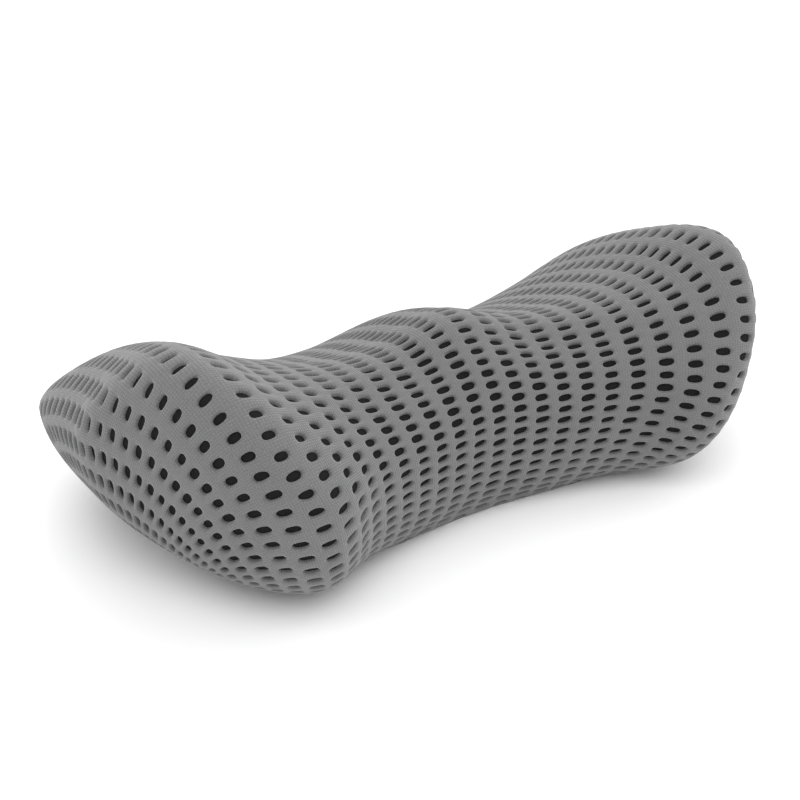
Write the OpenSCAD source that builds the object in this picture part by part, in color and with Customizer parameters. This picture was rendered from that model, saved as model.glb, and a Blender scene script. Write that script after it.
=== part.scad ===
// Lumbar support cushion: a moulded foam block with two high end lobes and a low
// waist, a knitted liner, and a zipped cover of thick 3-D mesh on a flat base panel.
// X runs along the length, Y from the concave front edge to the flat rear wall, and
// Z up. The origin is the centre of the base, on the surface that it rests on.

/* [Cushion] */
// Overall length, end to end
cushion_l = 460; // [440:5:480]
// Overall width, from the front of the lobes to the zip's slider at the rear
cushion_w = 260; // [250:5:275]
// Height at the crests of the end lobes
cushion_h = 150; // [140:1:160]
// Height of the widest level, as a fraction of the local height
girth_level = 0.58; // [0.57:0.01:0.6]
// Size of the flat base, as a fraction of the widest level
base_fraction = 0.6; // [0.58:0.01:0.64]

/* [Cover] */
// Thickness of the mesh panel and of the base panel
mesh_t = 4; // [3.5:0.1:4.2]
// Slack between the cover and the liner
slack = 2.3; // [2.2:0.1:2.8]
// Thickness of the knitted liner
liner_t = 0.8; // [0.5:0.1:1.2]
// Gap between the top panel and the base panel, filled by the seam
seam_gap = 0.8; // [0.6:0.1:1.2]

/* [Zip] */
// Length of the opening in the rear wall
opening_l = 200; // [160:5:210]
// Height of the opening in the rear wall
opening_h = 10; // [9.6:0.1:11]
// Height of the zip's centre line above the base
zip_z = 26; // [25:0.5:27]
// Width of each tape
tape_w = 8.5; // [8:0.1:9]
// Thickness of each tape
tape_t = 0.6; // [0.5:0.05:0.7]
// Diameter of each nylon coil
coil_d = 2.0; // [1.8:0.1:2.1]
// Length of the pull tab, from its hinge
pull_l = 26; // [20:1:30]
// Stitch length along the tapes
stitch_l = 3; // [2:0.5:4]

/* [Label] */
// Length of the blank care label, along the wall
label_l = 28; // [20:1:36]
// Height of the blank care label
label_w = 18; // [12:1:20]
// Height of the label's centre above the base
label_z = 36; // [34:0.5:38]

/* [Hidden] */

half_l = cushion_l / 2;
half_w = cushion_w / 2;

// Stations from the middle of the cushion to its end, evenly spaced. Each list is a
// fraction of the half width or of the overall height at those stations.
front_reach = [0.63, 0.68, 0.81, 1.10, 1.00, 0.42];
rear_reach = 1.1;
front_rise = [0.81, 0.79, 0.83, 0.93, 1.32, 1.32];
crest_rise = [1.00, 0.84, 0.86, 1.09, 1.28, 1.04];
rear_rise = [0.28, 0.28, 0.28, 0.33, 0.49, 0.72];

// Roundness of the outline at the front and the rear, and of the section above and below
// the widest level: 2 is an ellipse, and more is squarer.
front_round = 2.9;
rear_round = 4.2;
top_round = 2;
low_round = 2;
// How gently the rear wall turns flat
flat_blend = 0.8;

// Angle between the points that a direction is read from
step_a = 1;
// Number of points round each ring, and rings below and above the widest level
ring_n = 88;
low_n = 5;
top_n = 12;

// The rear wall, and the layers of the zip in it, from the inside out
slider_proud = 2.8;
wall_y = half_w - slider_proud;
tape_clear = 0.3;
tape_y = wall_y - mesh_t - tape_clear;
tape_over = 8;
coil_y = tape_y + coil_d / 2;
coil_gap = 0.9;
coil_sides = 24;
plate_t = 0.8;
plate_clear = 0.2;
inner_plate_y = tape_y - tape_t - plate_clear;
outer_plate_y = tape_y + coil_d + plate_clear;
pull_t = 1.0;
pull_clear = 0.3;
hinge_y = wall_y + pull_clear + pull_t / 2;
bridge_t = 0.9;
bridge_w = 1.2;
slider_l = 11;
slider_w = 8.4;
flange_t = 0.7;
wedge_t = 0.5;
wedge_l = 3;
stop_l = 2.4;
stop_clear = 0.1;
stop_over = 0.4;
slider_x = opening_l / 2 - slider_l / 2 - stop_l - 1.1;
eye_r = 0.5;
pull_w = 5.6;
eye_w = 2.8;
eye_l = 5;
foot_l = 1;
stitch_pitch = 2 * stitch_l + 1;
stitch_w = 0.5;
stitch_h = 0.3;
stitch_lift = 0.05;
stitch_off = opening_h / 2 + 1.6;

// Thread of the base seam, and the play round each layer
thread_h = 1.2;
thread_play = 0.1;
layer_play = 0.1;

// The label lies beyond the reach of the pull
label_t = 0.5;
label_x = slider_x + pull_l + 5;

function signed_pow(v, e) = sign(v) * pow(abs(v), e);

// A smooth curve through evenly spaced station values, mirrored about the middle
function station(v, x) =
    let (
        last = len(v) - 1,
        u = min(abs(x) / half_l, 0.99999) * last,
        i = floor(u),
        t = u - i,
        p0 = i == 0 ? v[1] : v[i - 1],
        p1 = v[i],
        p2 = v[i + 1],
        p3 = i + 2 > last ? 2 * v[last] - v[last - 1] : v[i + 2]
    )
    (2 * p1 + (p2 - p0) * t + (2 * p0 - 5 * p1 + 4 * p2 - p3) * t * t
        + (3 * p1 - p0 - 3 * p2 + p3) * t * t * t) / 2;

// Height of the top over the station x, where s runs from -1 at the front to 1
function top_height(x, s) =
    let (t = (s + 1) / 2)
    cushion_h * (station(front_rise, x) * pow(1 - t, 2)
        + 2 * station(crest_rise, x) * t * (1 - t) + station(rear_rise, x) * t * t);

// The lesser of a and b, with the corner between them rounded
function soft_min(a, b) =
    let (m = min(a, b), d = abs(a - b))
    m - flat_blend * ln(1 + exp(-d / flat_blend));

// A point of the plan, where rho is 1 on the outline and 0 at the middle. It holds the
// length and width, and then the two places that the height is read at.
function plan(a, rho) =
    let (
        n = sin(a) < 0 ? front_round : rear_round,
        r = rho * pow(pow(abs(cos(a)), n) + pow(abs(sin(a)), n), -1 / n),
        x = half_l * r * cos(a),
        s = r * sin(a),
        reach = half_w * (s < 0 ? station(front_reach, x) : rear_reach)
    )
    [x, soft_min(s * reach, wall_y), x, s];

// A point of the outside at the angle a round the outline and the elevation e, from
// -90 at the edge of the base to 90 at the top
function outside(a, e) =
    let (
        n = e < 0 ? low_round : top_round,
        c = pow(abs(cos(e)), 2 / n),
        up = signed_pow(sin(e), 2 / n),
        p = plan(a, e < 0 ? base_fraction + (1 - base_fraction) * c : c),
        h = top_height(p[2], p[3]),
        level = girth_level * h
    )
    [p[0], p[1], e < 0 ? level * (1 + up) : level + (h - level) * up];

function unit(v) = v / norm(v);

// The direction that faces out of the cushion there
function facing(a, e) =
    e > 90 - step_a
        ? unit(cross(outside(0, e - step_a) - outside(180, e - step_a),
            outside(90, e - step_a) - outside(270, e - step_a)))
        : unit(cross(outside(a + step_a, e) - outside(a - step_a, e),
            outside(a, e + step_a) - outside(a, max(e - step_a, -90))));

// A point of a skin that lies inside the outer one by an inset
function skin(a, e, inset) =
    inset == 0 ? outside(a, e) : outside(a, e) - inset * facing(a, e);

function ring(e, inset) = [for (j = [0 : ring_n - 1]) skin(j * 360 / ring_n, e, inset)];

// All the points of a skin, from the edge of the base up, and last its topmost point
function skin_points(inset) = [
    for (i = [0 : low_n - 1])
        each ring(-90 + 90 * i / low_n, inset),
    for (i = [0 : top_n - 1])
        each ring(90 * i / top_n, inset),
    skin(0, 90, inset)
];

ring_count = low_n + top_n;
skin_size = ring_count * ring_n + 1;

function flipped(faces, out) = out ? faces : [for (f = faces) [f[0], f[2], f[1]]];

// Faces of a skin whose points start at the index k, with the outside out, or in. The
// left half is split along the other diagonals, so that it mirrors the right half.
function skin_faces(k, out) = [
    for (i = [0 : ring_count - 2], j = [0 : ring_n - 1])
        let (
            a = k + i * ring_n + j,
            b = k + i * ring_n + (j + 1) % ring_n,
            c = b + ring_n,
            d = a + ring_n,
            left = j >= ring_n / 4 && j < 3 * ring_n / 4,
            outward = left ? [[a, d, b], [b, d, c]] : [[a, d, c], [a, c, b]]
        )
        each flipped(outward, out),
    for (j = [0 : ring_n - 1])
        let (
            a = k + (ring_count - 1) * ring_n + j,
            b = k + (ring_count - 1) * ring_n + (j + 1) % ring_n,
            top = k + skin_size - 1
        )
        out ? [a, top, b] : [a, b, top]
];

// The closed form inside a skin
module filled_skin(inset) {
    polyhedron(
        points = skin_points(inset),
        faces = concat(skin_faces(0, true), [[for (j = [0 : ring_n - 1]) j]])
    );
}

// The outline of the base, pulled in by an inset
module base_outline(inset) {
    offset(delta = -inset)
        polygon([for (j = [0 : ring_n - 1])
            let (p = plan(j * 360 / ring_n, base_fraction)) [p[0], p[1]]]);
}

module foam_core() {
    color("gold") filled_skin(mesh_t + slack + liner_t + layer_play);
}

module inner_liner() {
    color("ivory") difference() {
        filled_skin(mesh_t + slack);
        filled_skin(mesh_t + slack + liner_t);
    }
}

// The mesh panel covers the top and the walls and turns in under the cushion. It is
// open over the base panel, and at the zip.
module cover_top() {
    rim = [for (j = [0 : ring_n - 1])
        let (a = j, b = (j + 1) % ring_n, c = b + skin_size, d = a + skin_size)
        each [[a, b, c], [a, c, d]]];
    color("dimgray") difference() {
        polyhedron(
            points = concat(skin_points(0), skin_points(mesh_t)),
            faces = concat(skin_faces(0, true), skin_faces(skin_size, false), rim)
        );
        translate([-opening_l / 2, tape_y, zip_z - opening_h / 2])
            cube([opening_l, 2 * mesh_t, opening_h]);
    }
}

module cover_base() {
    color("darkslategray") linear_extrude(mesh_t) base_outline(seam_gap);
}

// Thread that closes the gap between the two panels
module base_seam() {
    color("gray") translate([0, 0, thread_h]) linear_extrude(thread_h) difference() {
        base_outline(thread_play);
        base_outline(seam_gap - thread_play);
    }
}

// One tape lies behind the edge of the opening, above or below the centre line
module zip_tape(side) {
    edge = coil_gap / 2;
    z = side > 0 ? zip_z + edge : zip_z - edge - tape_w;
    color("black") translate([-opening_l / 2 - tape_over, tape_y - tape_t, z])
        cube([opening_l + 2 * tape_over, tape_t, tape_w]);
}

module zip_tape_upper() {
    zip_tape(1);
}

module zip_tape_lower() {
    zip_tape(-1);
}

// One coil stands on its tape's outer face, between the stops
module zip_coil(side) {
    z = zip_z + side * (coil_gap + coil_d) / 2;
    run = opening_l - 2 * (stop_l + stop_over + stop_clear);
    color("darkgray") translate([-run / 2, coil_y, z])
        rotate([0, 90, 0]) cylinder(h = run, d = coil_d, $fn = coil_sides);
}

module zip_coil_upper() {
    zip_coil(1);
}

module zip_coil_lower() {
    zip_coil(-1);
}

// A row of stitches along one edge of the opening
module zip_stitch(side) {
    z = zip_z + side * stitch_off - stitch_w / 2;
    n = floor(opening_l / stitch_pitch);
    color("gray") for (i = [0 : n - 1])
        translate([(i - (n - 1) / 2) * stitch_pitch - stitch_l / 2, wall_y + stitch_lift, z])
            cube([stitch_l, stitch_h, stitch_w]);
}

module zip_stitch_upper() {
    zip_stitch(1);
}

module zip_stitch_lower() {
    zip_stitch(-1);
}

// Two small stops at the closed end, one on each coil's line
module zip_top_stops() {
    w = coil_d + stop_over;
    color("darkgray") for (side = [-1, 1])
        translate([opening_l / 2 - stop_l - stop_clear, tape_y,
                zip_z + side * (coil_gap + coil_d) / 2 - w / 2])
            cube([stop_l, coil_d, w]);
}

// One box across both coils at the open end
module zip_bottom_stop() {
    w = 2 * coil_d + coil_gap;
    color("darkgray") translate([stop_clear - opening_l / 2, tape_y, zip_z - w / 2])
        cube([stop_l, coil_d, w]);
}

// Two plates joined by a wedge that runs between the coils, side flanges that hold
// the coils in, and a bridge over the outer plate for the pull
module zip_slider() {
    depth = outer_plate_y - inner_plate_y;
    span = 2 * (eye_l - foot_l);
    color("silver") translate([slider_x, 0, zip_z]) {
        translate([-slider_l / 2, inner_plate_y - plate_t, -slider_w / 2])
            cube([slider_l, plate_t, slider_w]);
        translate([-slider_l / 2, outer_plate_y, -slider_w / 2])
            cube([slider_l, plate_t, slider_w]);
        translate([slider_l / 2 - wedge_l, inner_plate_y, -wedge_t / 2])
            cube([wedge_l, depth, wedge_t]);
        for (side = [-1, 1])
            translate([-slider_l / 2, tape_y + plate_clear,
                    side * (slider_w - flange_t) / 2 - flange_t / 2])
                cube([slider_l, outer_plate_y - tape_y - plate_clear, flange_t]);
        translate([-span / 2, half_w - bridge_t, -bridge_w / 2])
            cube([span, bridge_t, bridge_w]);
        for (side = [-1, 1])
            translate([side * (span - foot_l) / 2 - foot_l / 2, outer_plate_y + plate_t,
                    -bridge_w / 2])
                cube([foot_l, half_w - bridge_t - outer_plate_y - plate_t, bridge_w]);
    }
}

// The pull turns about the bar under the slider's bridge. At rest it lies flat along
// the closed coils.
module zip_pull() {
    arm = (pull_w - eye_w) / 2;
    color("silver") translate([slider_x, hinge_y, zip_z]) {
        translate([0, 0, -pull_w / 2])
            cylinder(h = pull_w, r = eye_r, $fn = coil_sides);
        for (side = [-1, 1])
            translate([-eye_l, -pull_t / 2, side * (pull_w - arm) / 2 - arm / 2])
                cube([eye_l, pull_t, arm]);
        translate([-pull_l, -pull_t / 2, -pull_w / 2])
            cube([pull_l - eye_l, pull_t, pull_w]);
    }
}

// A blank label sewn flat on the rear wall, beyond the closed end of the zip
module care_label() {
    color("white") translate([label_x, wall_y + layer_play, label_z - label_w / 2])
        cube([label_l, label_t, label_w]);
}

foam_core();
inner_liner();
cover_top();
cover_base();
base_seam();
zip_tape_upper();
zip_tape_lower();
zip_coil_upper();
zip_coil_lower();
zip_stitch_upper();
zip_stitch_lower();
zip_top_stops();
zip_bottom_stop();
zip_slider();
zip_pull();
care_label();
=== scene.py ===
"""The looks of the lumbar support cushion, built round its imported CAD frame."""
import math
import bpy
import numpy as np
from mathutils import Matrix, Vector
from mathutils.bvhtree import BVHTree


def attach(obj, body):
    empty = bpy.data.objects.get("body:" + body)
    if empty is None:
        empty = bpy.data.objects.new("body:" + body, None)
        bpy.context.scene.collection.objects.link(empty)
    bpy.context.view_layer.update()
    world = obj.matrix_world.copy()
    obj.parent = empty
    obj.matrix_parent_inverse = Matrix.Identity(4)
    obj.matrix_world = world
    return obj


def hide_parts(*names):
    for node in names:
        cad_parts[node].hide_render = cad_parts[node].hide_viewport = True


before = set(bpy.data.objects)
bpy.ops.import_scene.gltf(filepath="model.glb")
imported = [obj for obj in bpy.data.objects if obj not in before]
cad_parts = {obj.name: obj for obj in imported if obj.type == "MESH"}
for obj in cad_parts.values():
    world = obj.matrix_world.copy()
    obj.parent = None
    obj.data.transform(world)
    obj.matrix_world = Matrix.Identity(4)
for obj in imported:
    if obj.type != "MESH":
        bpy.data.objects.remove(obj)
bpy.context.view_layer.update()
MM = 0.001
rng = np.random.default_rng(7)

# ---------------------------------------------------------------- the cushion's form
# The same form as the CAD model, in mm. The lists are stations from the middle to the
# end, evenly spaced, as fractions of the half width and of the height.
HALF_L, HALF_W, HEIGHT = 230.0, 130.0, 150.0
FRONT_REACH = [0.63, 0.68, 0.81, 1.10, 1.00, 0.42]
REAR_REACH = 1.1
FRONT_RISE = [0.81, 0.79, 0.83, 0.93, 1.32, 1.32]
CREST_RISE = [1.00, 0.84, 0.86, 1.09, 1.28, 1.04]
REAR_RISE = [0.28, 0.28, 0.28, 0.33, 0.49, 0.72]
FRONT_ROUND, REAR_ROUND, TOP_ROUND, LOW_ROUND = 2.9, 4.2, 2.0, 2.0
LEVEL, BASE, WALL_Y, BLEND = 0.58, 0.60, 127.2, 0.8
ZIP_Z, LABEL_Z, OPEN_L, OPEN_H, MESH_T = 26.0, 36.0, 200.0, 10.0, 4.0
TAPE_Y = WALL_Y - MESH_T - 0.3
# the border between the cover's panels, in degrees of elevation: in the middle, and how
# much higher it is at the ends
BORDER_LOW, BORDER_LIFT, BORDER_TURN = -78, 33, 6
# insets from the form, and thicknesses
PILE_IN, PILE_T = 2.6, 1.2
BASE_T = 4.0
LINER_IN, LINER_T, LINER_RIPPLE = 6.2, 0.7, 0.25
FOAM_IN, FOAM_RIPPLE = 7.4, 0.15
# the cloth simulation
START_IN, SWELL_CAP, FRAMES = 1.2, 2.5, 20
HELD_Z, HELD_X = 48, 160


def station(v, x):
    """The smooth curve through the stations v, at the places x along the cushion."""
    last = len(v) - 1
    u = np.minimum(np.abs(x) / HALF_L, 0.99999) * last
    i = np.floor(u).astype(int)
    t = u - i
    w = np.array([v[1]] + list(v) + [2 * v[-1] - v[-2]])
    p0, p1, p2, p3 = w[i], w[i + 1], w[i + 2], w[i + 3]
    return 0.5 * (2 * p1 + (p2 - p0) * t + (2 * p0 - 5 * p1 + 4 * p2 - p3) * t * t
                  + (3 * p1 - p0 - 3 * p2 + p3) * t ** 3)


def outside(a, e):
    """Points of the outside at the angles a round the outline and the elevations e."""
    section = np.where(e < 0, LOW_ROUND, TOP_ROUND)
    outline = np.where(np.sin(a) < 0, FRONT_ROUND, REAR_ROUND)
    c = np.abs(np.cos(e)) ** (2 / section)
    up = np.sign(e) * np.abs(np.sin(e)) ** (2 / section)
    rho = np.where(e < 0, BASE + (1 - BASE) * c, c)
    r = rho * (np.abs(np.cos(a)) ** outline + np.abs(np.sin(a)) ** outline) ** (-1 / outline)
    x = HALF_L * r * np.cos(a)
    s = r * np.sin(a)
    y = s * HALF_W * np.where(s < 0, station(FRONT_REACH, x), REAR_REACH)
    y = np.minimum(y, WALL_Y) - BLEND * np.log1p(np.exp(-np.abs(y - WALL_Y) / BLEND))
    t = (s + 1) / 2
    h = HEIGHT * (station(FRONT_RISE, x) * (1 - t) ** 2 + 2 * station(CREST_RISE, x) * t * (1 - t)
                  + station(REAR_RISE, x) * t * t)
    low = LEVEL * h
    return np.stack([x, y, np.where(e < 0, low * (1 + up), low + (h - low) * up)], -1)


def grid_form(around, lower, upper):
    """Rings of points from the edge of the base to the border between the cover's panels,
    then to just below the top, and then the top."""
    a = np.linspace(0, 2 * np.pi, around, endpoint=False)
    border = np.radians(BORDER_LIFT * np.abs(np.cos(a)) ** BORDER_TURN + BORDER_LOW)
    low = np.linspace(0, 1, lower, endpoint=False)[:, None]
    high = np.linspace(0, 1, upper, endpoint=False)[:, None]
    e = np.vstack([(border + np.pi / 2) * low - np.pi / 2, border + (np.pi / 2 - border) * high])
    grid = outside(np.broadcast_to(a, e.shape), e).reshape(-1, 3)
    top = outside(np.array([0.0]), np.array([np.pi / 2]))
    return np.vstack([grid, top]), len(e)


def grid_faces(around, rings):
    """Four-sided faces of such a grid, and triangles to its top, with the outside out."""
    i, j = np.meshgrid(np.arange(rings - 1), np.arange(around), indexing="ij")
    a = i * around + j
    b = i * around + (j + 1) % around
    c, d = b + around, a + around
    quads = np.stack([a, b, c, d], -1).reshape(-1, 4)
    k = np.arange(around) + (rings - 1) * around
    fan = np.stack([k, np.roll(k, -1), np.full(around, rings * around)], -1)
    return quads, fan


def point_normals(points, faces):
    """Directions out of a surface at its points. faces is a list of arrays."""
    n = np.zeros_like(points)
    for f in faces:
        p = points[f]
        if f.shape[1] == 4:
            face_n = np.cross(p[:, 2] - p[:, 0], p[:, 3] - p[:, 1])
        else:
            face_n = np.cross(p[:, 1] - p[:, 0], p[:, 2] - p[:, 0])
        for k in range(f.shape[1]):
            np.add.at(n, f[:, k], face_n)
    return n / np.maximum(np.linalg.norm(n, axis=1, keepdims=True), 1e-12)


# ---------------------------------------------------------------- mesh and object helpers
def link(name, data):
    ob = bpy.data.objects.new(name, data)
    bpy.context.scene.collection.objects.link(ob)
    return ob


def make(name, points_mm, faces, material, attr=None):
    """A mesh object of the cushion's body from points in mm and arrays of faces. attr is each
    point's place in the flat cloth, in mm."""
    me = bpy.data.meshes.new(name)
    polys = []
    for f in faces:
        polys += np.asarray(f).tolist()
    me.from_pydata((np.asarray(points_mm) * MM).tolist(), [], polys)
    me.validate()
    me.polygons.foreach_set("use_smooth", [True] * len(me.polygons))
    if attr is not None:
        layer = me.attributes.new("fabric", "FLOAT_VECTOR", "POINT")
        layer.data.foreach_set("vector", np.ascontiguousarray(attr * MM, dtype=np.float32).ravel())
    me.materials.append(material)
    ob = link(name, me)
    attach(ob, "cushion")
    return ob


# ---------------------------------------------------------------- materials
def new_material(name, color, roughness, **sockets):
    m = bpy.data.materials.new(name)
    m.use_nodes = True
    bsdf = m.node_tree.nodes["Principled BSDF"]
    bsdf.inputs["Base Color"].default_value = (*color, 1)
    bsdf.inputs["Roughness"].default_value = roughness
    for k, v in sockets.items():
        bsdf.inputs[k.replace("_", " ")].default_value = v
    return m, m.node_tree, bsdf


def node(tree, kind, **values):
    n = tree.nodes.new(kind)
    for k, v in values.items():
        if k in n.inputs:
            n.inputs[k].default_value = v
        elif k.replace("_", " ") in n.inputs:
            n.inputs[k.replace("_", " ")].default_value = v
        else:
            setattr(n, k, v)
    return n


def math_node(tree, op, a, b=0.0, clamp=False):
    n = node(tree, "ShaderNodeMath", operation=op, use_clamp=clamp)
    for k, v in ((0, a), (1, b)):
        if hasattr(v, "default_value"):
            tree.links.new(v, n.inputs[k])
        else:
            n.inputs[k].default_value = v
    return n.outputs[0]


def color_mix(tree, factor, a, b):
    n = node(tree, "ShaderNodeMix", data_type="RGBA")
    for k, v in ((0, factor), (6, a), (7, b)):
        if hasattr(v, "default_value"):
            tree.links.new(v, n.inputs[k])
        elif isinstance(v, tuple):
            n.inputs[k].default_value = (*v, 1)
        else:
            n.inputs[k].default_value = v
    return n.outputs[2]


def fabric_coordinates(tree):
    """The place in the flat cloth, in metres, that the cover's pieces carry."""
    return node(tree, "ShaderNodeAttribute", attribute_name="fabric").outputs["Vector"]


def object_coordinates(tree):
    return node(tree, "ShaderNodeTexCoord").outputs["Object"]


def noise(tree, vector, scale, detail=3.0, roughness=0.55):
    n = node(tree, "ShaderNodeTexNoise", Scale=scale, Detail=detail, Roughness=roughness)
    tree.links.new(vector, n.inputs["Vector"])
    return n.outputs["Fac"]


def half_wave(tree, vector, axis, per_metre):
    s = node(tree, "ShaderNodeSeparateXYZ")
    tree.links.new(vector, s.inputs[0])
    angle = math_node(tree, "MULTIPLY", s.outputs[axis], 2 * math.pi * per_metre)
    sine = math_node(tree, "SINE", angle)
    n = node(tree, "ShaderNodeMath", operation="MULTIPLY_ADD")
    tree.links.new(sine, n.inputs[0])
    n.inputs[1].default_value = 0.5
    n.inputs[2].default_value = 0.5
    return n.outputs[0]


def bump(tree, bsdf, height, distance):
    b = node(tree, "ShaderNodeBump", Strength=1.0, Distance=distance)
    tree.links.new(height, b.inputs["Height"])
    tree.links.new(b.outputs["Normal"], bsdf.inputs["Normal"])


def knit(name, dark, light, wales, courses, depth, sheen, coordinates=fabric_coordinates):
    """Knitted cloth: rows of small loops, a melange of yarn tones, and soft blotches."""
    m, tree, bsdf = new_material(name, light, 0.9, Sheen_Weight=sheen, Sheen_Roughness=0.45,
                                 Specular_IOR_Level=0.25)
    at = coordinates(tree)
    loops = math_node(tree, "MULTIPLY", half_wave(tree, at, 0, wales),
                      half_wave(tree, at, 1, courses))
    fibre = noise(tree, at, 1900.0, 4.0, 0.7)
    height = math_node(tree, "ADD", loops, math_node(tree, "MULTIPLY", fibre, 0.55))
    bump(tree, bsdf, height, depth)
    tone = math_node(tree, "ADD", math_node(tree, "MULTIPLY", noise(tree, at, 900.0, 2.0), 0.55),
                     math_node(tree, "MULTIPLY", noise(tree, at, 14.0, 3.0), 0.30))
    tone = math_node(tree, "ADD", tone, math_node(tree, "MULTIPLY", loops, 0.30), clamp=True)
    tree.links.new(color_mix(tree, tone, dark, light), bsdf.inputs["Base Color"])
    return m


# each knit's two yarn tones, loops per metre both ways, bump depth in metres, and sheen
mesh_mat = knit("mesh_face_knit", (0.082, 0.082, 0.083), (0.205, 0.205, 0.207),
                620, 820, 0.00022, 0.30)
# the backing layer is real, but its near-black tones are painted shade, the shadow deep in the
# net's holes
pile_painted_shade_mat = knit("mesh_pile_yarn_painted_shade", (0.004, 0.004, 0.0042), (0.010, 0.010, 0.0105),
                1500, 300, 0.0003, 0.02)
liner_mat = knit("liner_knit", (0.60, 0.585, 0.55), (0.80, 0.79, 0.76), 700, 900, 0.00012, 0.2)
base_mat = knit("base_knit", (0.035, 0.035, 0.038), (0.085, 0.085, 0.09),
                500, 600, 0.00025, 0.3, object_coordinates)


def foam_material():
    m, tree, bsdf = new_material("memory_foam", (0.82, 0.74, 0.52), 0.85, Sheen_Weight=0.1)
    at = object_coordinates(tree)
    cells = node(tree, "ShaderNodeTexVoronoi", Scale=900.0)
    tree.links.new(at, cells.inputs["Vector"])
    bump(tree, bsdf, cells.outputs["Distance"], 0.0004)
    tone = noise(tree, at, 18.0, 4.0)
    tree.links.new(color_mix(tree, tone, (0.70, 0.60, 0.38), (0.88, 0.80, 0.58)),
                   bsdf.inputs["Base Color"])
    return m


def thread_material(name, dark, light):
    """Twisted sewing thread: slanting plies and fine fibre."""
    m, tree, bsdf = new_material(name, light, 0.6, Sheen_Weight=0.3, Sheen_Roughness=0.4)
    at = object_coordinates(tree)
    turn = node(tree, "ShaderNodeMapping")
    turn.inputs["Rotation"].default_value = (0.6, 0.6, 0.7)
    tree.links.new(at, turn.inputs["Vector"])
    ply = half_wave(tree, turn.outputs["Vector"], 0, 2600)
    bump(tree, bsdf, ply, 0.00008)
    tone = math_node(tree, "ADD", math_node(tree, "MULTIPLY", ply, 0.5),
                     math_node(tree, "MULTIPLY", noise(tree, at, 1500.0), 0.5), clamp=True)
    tree.links.new(color_mix(tree, tone, dark, light), bsdf.inputs["Base Color"])
    return m


def tape_material():
    """Woven zip tape: fine herringbone ribs along the tape."""
    m, tree, bsdf = new_material("zip_tape_weave", (0.05, 0.05, 0.055), 0.8, Sheen_Weight=0.35,
                                 Sheen_Roughness=0.4)
    at = object_coordinates(tree)
    weft = half_wave(tree, at, 0, 1400)
    warp = half_wave(tree, at, 2, 1800)
    weave = math_node(tree, "MAXIMUM", math_node(tree, "MULTIPLY", weft, 0.8), warp)
    bump(tree, bsdf, weave, 0.00018)
    tone = math_node(tree, "MULTIPLY", weave, noise(tree, at, 400.0))
    tree.links.new(color_mix(tree, tone, (0.022, 0.022, 0.025), (0.085, 0.085, 0.092)),
                   bsdf.inputs["Base Color"])
    return m


def nylon_material():
    m, tree, bsdf = new_material("zip_nylon", (0.06, 0.06, 0.065), 0.34, Specular_IOR_Level=0.5)
    at = object_coordinates(tree)
    bump(tree, bsdf, noise(tree, at, 2200.0), 0.00004)
    tone = noise(tree, at, 160.0)
    tree.links.new(color_mix(tree, tone, (0.035, 0.035, 0.038), (0.085, 0.085, 0.09)),
                   bsdf.inputs["Base Color"])
    return m


def metal_material():
    """Dark gunmetal plating with worn, brighter patches and fine scratches."""
    m, tree, bsdf = new_material("zip_gunmetal", (0.16, 0.16, 0.17), 0.3, Metallic=1.0)
    at = object_coordinates(tree)
    wear = noise(tree, at, 350.0, 5.0, 0.65)
    tree.links.new(color_mix(tree, wear, (0.10, 0.10, 0.11), (0.26, 0.26, 0.27)),
                   bsdf.inputs["Base Color"])
    ramp = node(tree, "ShaderNodeMapRange")
    tree.links.new(wear, ramp.inputs["Value"])
    ramp.inputs["To Min"].default_value = 0.22
    ramp.inputs["To Max"].default_value = 0.48
    tree.links.new(ramp.outputs[0], bsdf.inputs["Roughness"])
    stretch = node(tree, "ShaderNodeMapping")
    stretch.inputs["Scale"].default_value = (200, 2500, 2500)
    tree.links.new(at, stretch.inputs["Vector"])
    bump(tree, bsdf, noise(tree, stretch.outputs["Vector"], 1.0), 0.00003)
    return m


def label_material():
    """Satin tape: floats along the length, with a soft sheen. It is blank."""
    m, tree, bsdf = new_material("label_satin", (0.78, 0.78, 0.76), 0.42, Sheen_Weight=0.4,
                                 Sheen_Roughness=0.3)
    at = object_coordinates(tree)
    warp = half_wave(tree, at, 2, 3200)
    bump(tree, bsdf, math_node(tree, "ADD", warp, noise(tree, at, 500.0)), 0.00006)
    tone = math_node(tree, "MULTIPLY", warp, noise(tree, at, 60.0))
    tree.links.new(color_mix(tree, tone, (0.72, 0.72, 0.69), (0.84, 0.84, 0.82)),
                   bsdf.inputs["Base Color"])
    return m


foam_mat = foam_material()
thread_mat = thread_material("grey_thread", (0.09, 0.09, 0.092), (0.24, 0.24, 0.245))
tape_mat = tape_material()
nylon_mat = nylon_material()
metal_mat = metal_material()
label_mat = label_material()

# ---------------------------------------------------------------- the padded form
AROUND, LOWER, UPPER = 96, 10, 34
rest, rings = grid_form(AROUND, LOWER, UPPER)
quads, fan = grid_faces(AROUND, rings)
rest_n = point_normals(rest, [quads, fan])


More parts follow.
